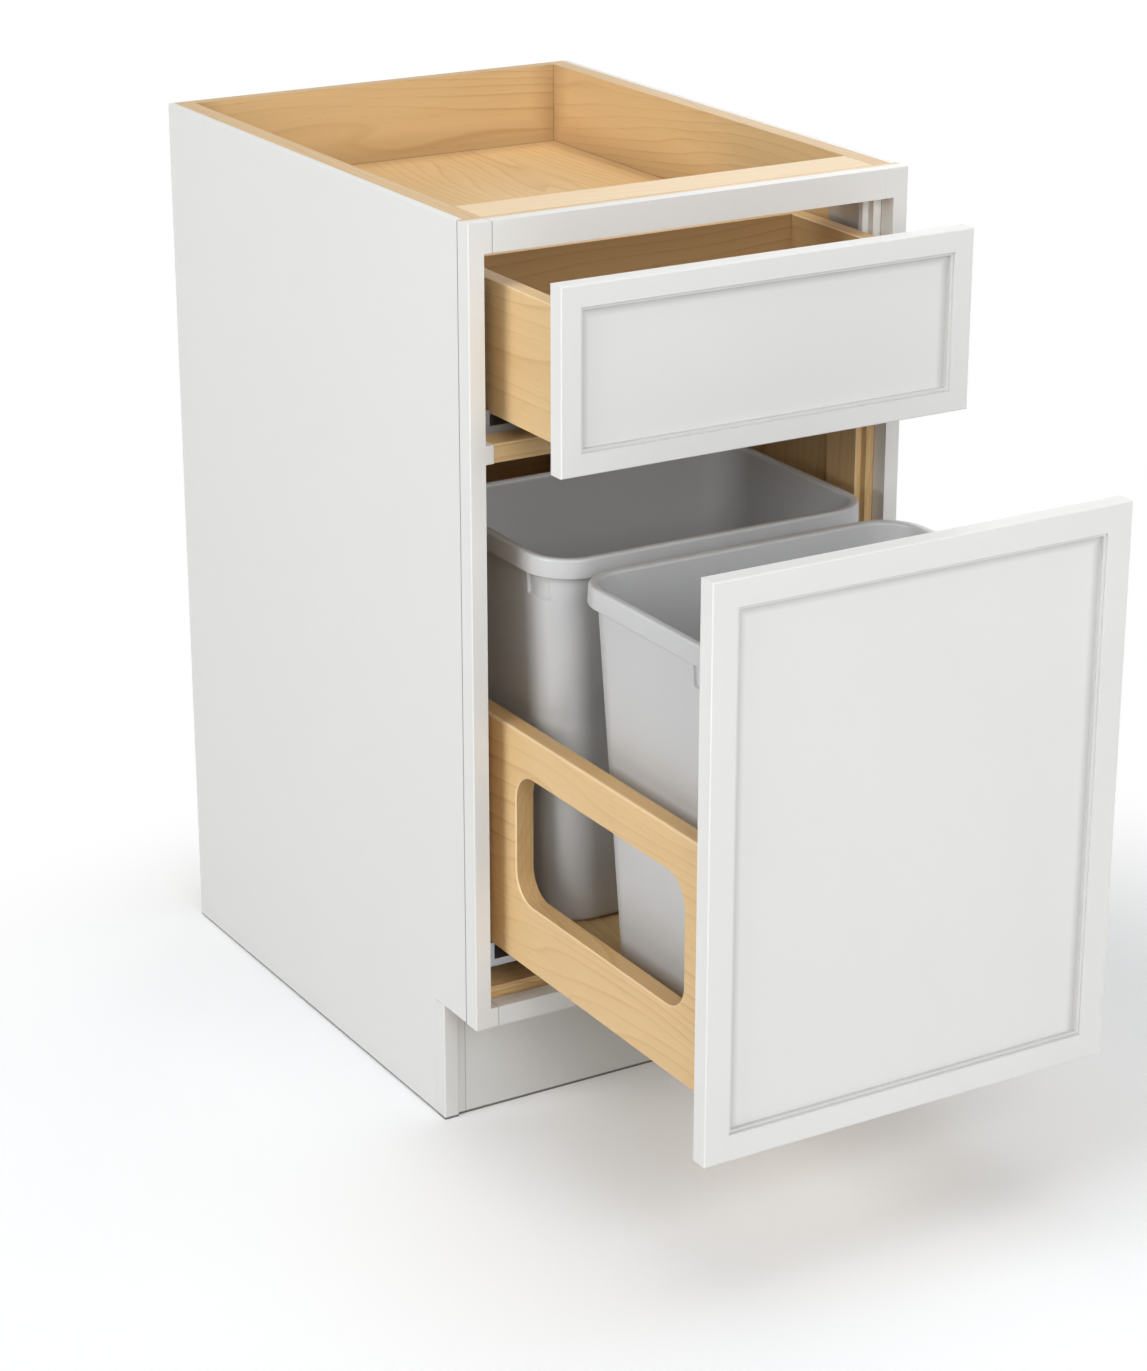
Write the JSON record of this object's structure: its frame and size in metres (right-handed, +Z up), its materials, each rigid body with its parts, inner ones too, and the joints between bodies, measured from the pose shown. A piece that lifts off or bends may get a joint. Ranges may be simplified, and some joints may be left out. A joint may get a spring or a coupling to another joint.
{
  "type": "pull out trash cabinet",
  "caption": "Framed base cabinet with an open top tray, a shallow drawer and an inset-door pull-out that carries waste bins between windowed wooden side frames.",
  "frame": {"origin": "on the centre line of the cabinet's back face, at floor level: where the floor meets the wall", "axes": "+X to the right seen from the front, +Y to the back (into the wall), +Z up; the drawer and the pull-out open towards -Y"},
  "size_m": [0.4572, 0.9696, 0.8763],
  "materials": {
    "white_paint": "satin white paint",
    "maple": "clear-coated natural maple",
    "slide_steel": "zinc-plated rolled steel",
    "bin_plastic": "fine-textured moulded plastic"
  },
  "bodies": {
    "cabinet": {"left_side_panel": "maple", "right_side_panel": "maple", "left_side_skin": "white_paint", "right_side_skin": "white_paint", "left_stile": "white_paint", "right_stile": "white_paint", "left_lower_front_cleat": "maple", "right_lower_front_cleat": "maple", "left_upper_front_cleat": "maple", "right_upper_front_cleat": "maple", "left_rear_cleat": "maple", "right_rear_cleat": "maple", "left_toe_strip": "white_paint", "right_toe_strip": "white_paint", "left_front_slide_bracket": "slide_steel", "right_front_slide_bracket": "slide_steel", "left_rear_slide_bracket": "slide_steel", "right_rear_slide_bracket": "slide_steel", "left_front_pullout_slide_bracket": "slide_steel", "right_front_pullout_slide_bracket": "slide_steel", "left_rear_pullout_slide_bracket": "slide_steel", "right_rear_pullout_slide_bracket": "slide_steel", "left_drawer_slide_rail": "slide_steel", "right_drawer_slide_rail": "slide_steel", "left_pullout_slide_rail": "slide_steel", "right_pullout_slide_rail": "slide_steel", "back_panel": "maple", "cabinet_floor": "maple", "tray_floor": "maple", "front_stretcher": "maple", "top_rail": "white_paint", "mid_rail": "maple", "bottom_rail": "white_paint", "toe_board": "white_paint"},
    "drawer_runners": {"left_drawer_slide_runner": "slide_steel", "right_drawer_slide_runner": "slide_steel"},
    "drawer": {"drawer_front_frame": "white_paint", "drawer_front_panel": "white_paint", "drawer_box_front": "maple", "drawer_back": "maple", "drawer_bottom": "maple", "left_drawer_side": "maple", "right_drawer_side": "maple", "left_drawer_slide_carrier": "slide_steel", "right_drawer_slide_carrier": "slide_steel"},
    "pullout_runners": {"left_pullout_slide_runner": "slide_steel", "right_pullout_slide_runner": "slide_steel"},
    "pullout": {"door_frame": "white_paint", "door_panel": "white_paint", "front_cross_rail": "maple", "rear_cross_rail": "maple", "bin_platform": "maple", "left_pullout_side": "maple", "right_pullout_side": "maple", "left_pullout_slide_carrier": "slide_steel", "right_pullout_slide_carrier": "slide_steel"},
    "front_bin": {"front_bin": "bin_plastic"},
    "rear_bin": {"rear_bin": "bin_plastic"}
  },
  "joints": [
    {"name": "drawer_slide", "type": "slide", "parent": "cabinet", "child": "drawer", "axis": [0, -1, 0], "range_m": [-0.125, 0.075]},
    {"name": "drawer_runner_slide", "type": "slide", "parent": "cabinet", "child": "drawer_runners", "axis": [0, -1, 0], "range_m": [-0.0625, 0.0375]},
    {"name": "pullout_slide", "type": "slide", "parent": "cabinet", "child": "pullout", "axis": [0, -1, 0], "range_m": [-0.36, 0.173]},
    {"name": "pullout_runner_slide", "type": "slide", "parent": "cabinet", "child": "pullout_runners", "axis": [0, -1, 0], "range_m": [-0.18, 0.0865]},
    {"name": "front_bin_lift", "type": "slide", "parent": "pullout", "child": "front_bin", "axis": [0, 0, 1], "range_m": [0, 0.075]},
    {"name": "rear_bin_lift", "type": "slide", "parent": "pullout", "child": "rear_bin", "axis": [0, 0, 1], "range_m": [0, 0.075]}
  ],
  "couplings": [
    {"joint": "drawer_runner_slide", "follows": "drawer_slide", "ratio": 0.5},
    {"joint": "pullout_runner_slide", "follows": "pullout_slide", "ratio": 0.5}
  ]
}
